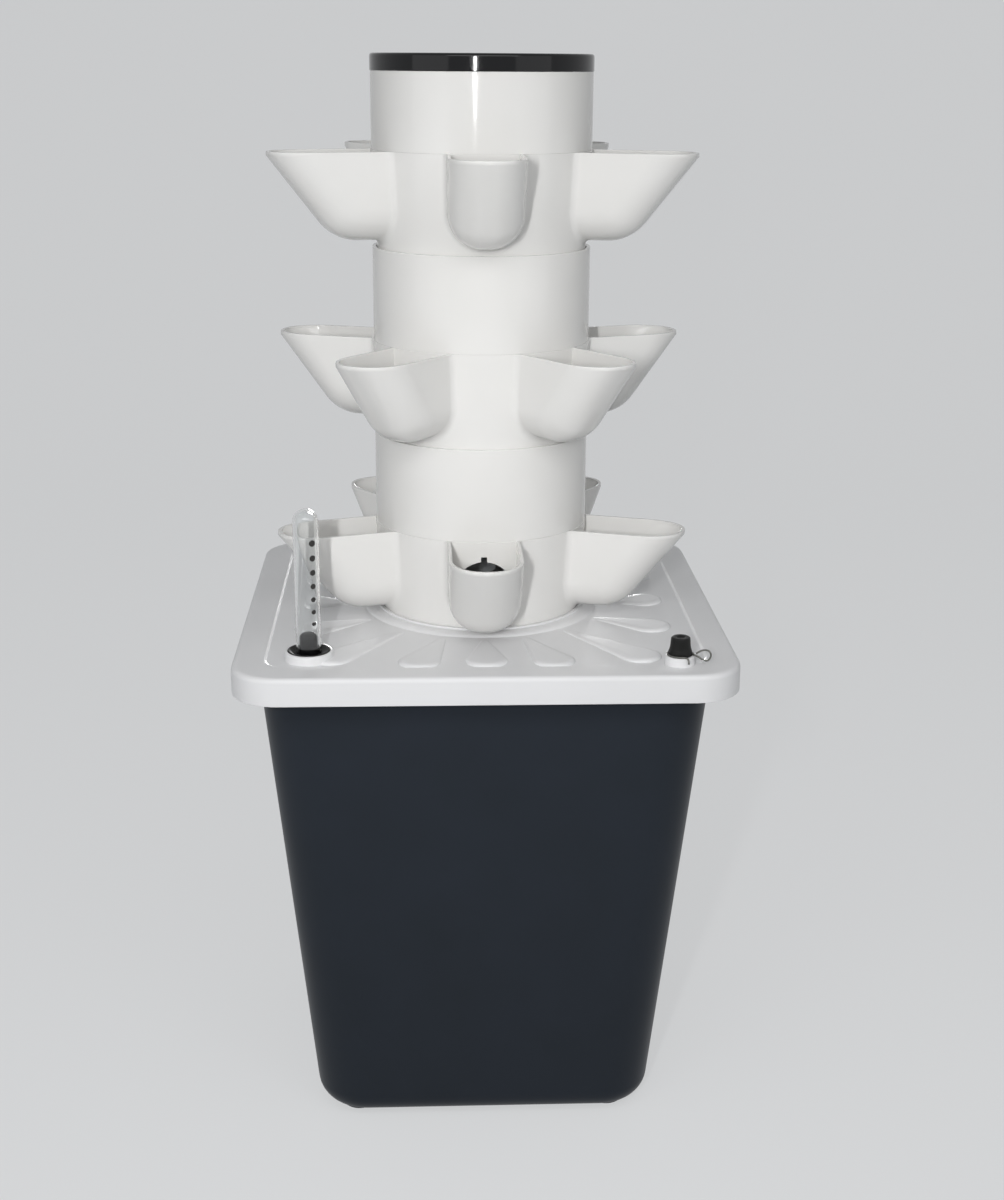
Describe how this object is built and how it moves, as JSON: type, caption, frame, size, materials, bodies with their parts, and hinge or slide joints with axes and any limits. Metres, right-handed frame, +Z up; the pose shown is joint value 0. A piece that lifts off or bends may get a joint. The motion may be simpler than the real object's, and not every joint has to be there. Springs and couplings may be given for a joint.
{
  "type": "vertical planter tower",
  "caption": "Water tank with a lid that carries a tower of turning planting rings with slanted cups, spacer tubes and a cap, a pump and riser pipe inside and a float level gauge.",
  "frame": {"origin": "on the floor under the tower's axis, at the middle of the tank's feet", "axes": "+Z up along the tower, -Y towards the side with the level gauge and the filler bung, +X to the right seen from there"},
  "size_m": [0.3, 0.3, 0.6618],
  "materials": {
    "tank_plastic": "satin slate blue moulded plastic",
    "lid_plastic": "smooth, slightly glossy white",
    "tower_plastic": "glossy warm white",
    "inner_plastic": "plain grey",
    "cap_plastic": "glossy black",
    "pump_plastic": "satin black",
    "impeller_plastic": "plain off-white",
    "shaft_steel": "ground",
    "black_rubber": "matte black rubber",
    "clear_plastic": "clear acrylic",
    "float_plastic": "matte black",
    "wire_steel": "bright wire"
  },
  "bodies": {
    "tank": {"tank": "tank_plastic", "tank_rim": "tank_plastic", "pump_housing": "pump_plastic", "pump_cover": "pump_plastic", "pump_intake_cage": "pump_plastic", "pump_shaft": "shaft_steel", "pump_suction_feet": "black_rubber", "riser_pipe_1": "inner_plastic", "riser_pipe_2": "inner_plastic", "riser_pipe_3": "inner_plastic", "riser_pipe_4": "inner_plastic"},
    "impeller": {"pump_impeller": "impeller_plastic"},
    "lid": {"lid": "lid_plastic", "gauge_grommet": "black_rubber", "gauge_glass": "clear_plastic"},
    "level_float": {"gauge_float": "float_plastic"},
    "bung": {"filler_bung": "black_rubber", "bung_wire": "wire_steel"},
    "lower_ring": {"planting_ring_lower": "tower_plastic"},
    "lower_tube": {"spacer_tube_lower": "tower_plastic"},
    "middle_ring": {"planting_ring_middle": "tower_plastic"},
    "upper_tube": {"spacer_tube_upper": "tower_plastic"},
    "upper_ring": {"planting_ring_upper": "tower_plastic"},
    "top_tube": {"top_tube": "tower_plastic", "water_distributor": "inner_plastic"},
    "cap": {"top_cap": "cap_plastic"}
  },
  "joints": [
    {"name": "lid_lift", "type": "slide", "parent": "tank", "child": "lid", "axis": [0, 0, 1], "range_m": [0, 0.25]},
    {"name": "impeller_spin", "type": "hinge", "parent": "tank", "child": "impeller", "pos_m": [0, 0, 0.037], "axis": [1, 0, 0], "continuous": true},
    {"name": "float_rise", "type": "slide", "parent": "lid", "child": "level_float", "axis": [0, 0, 1], "range_m": [0, 0.07]},
    {"name": "bung_pull", "type": "slide", "parent": "lid", "child": "bung", "axis": [0, 0, 1], "range_m": [0, 0.04]},
    {"name": "lower_ring_turn", "type": "hinge", "parent": "lid", "child": "lower_ring", "pos_m": [0, 0, 0.32], "axis": [0, 0, 1], "continuous": true},
    {"name": "lower_tube_lift", "type": "slide", "parent": "lower_ring", "child": "lower_tube", "axis": [0, 0, 1], "range_m": [0, 0.06]},
    {"name": "middle_ring_turn", "type": "hinge", "parent": "lower_tube", "child": "middle_ring", "pos_m": [0, 0, 0.4345], "axis": [0, 0, 1], "continuous": true},
    {"name": "upper_tube_lift", "type": "slide", "parent": "middle_ring", "child": "upper_tube", "axis": [0, 0, 1], "range_m": [0, 0.06]},
    {"name": "upper_ring_turn", "type": "hinge", "parent": "upper_tube", "child": "upper_ring", "pos_m": [0, 0, 0.549], "axis": [0, 0, 1], "continuous": true},
    {"name": "top_tube_lift", "type": "slide", "parent": "upper_ring", "child": "top_tube", "axis": [0, 0, 1], "range_m": [0, 0.06]},
    {"name": "cap_lift", "type": "slide", "parent": "top_tube", "child": "cap", "axis": [0, 0, 1], "range_m": [0, 0.06]}
  ]
}
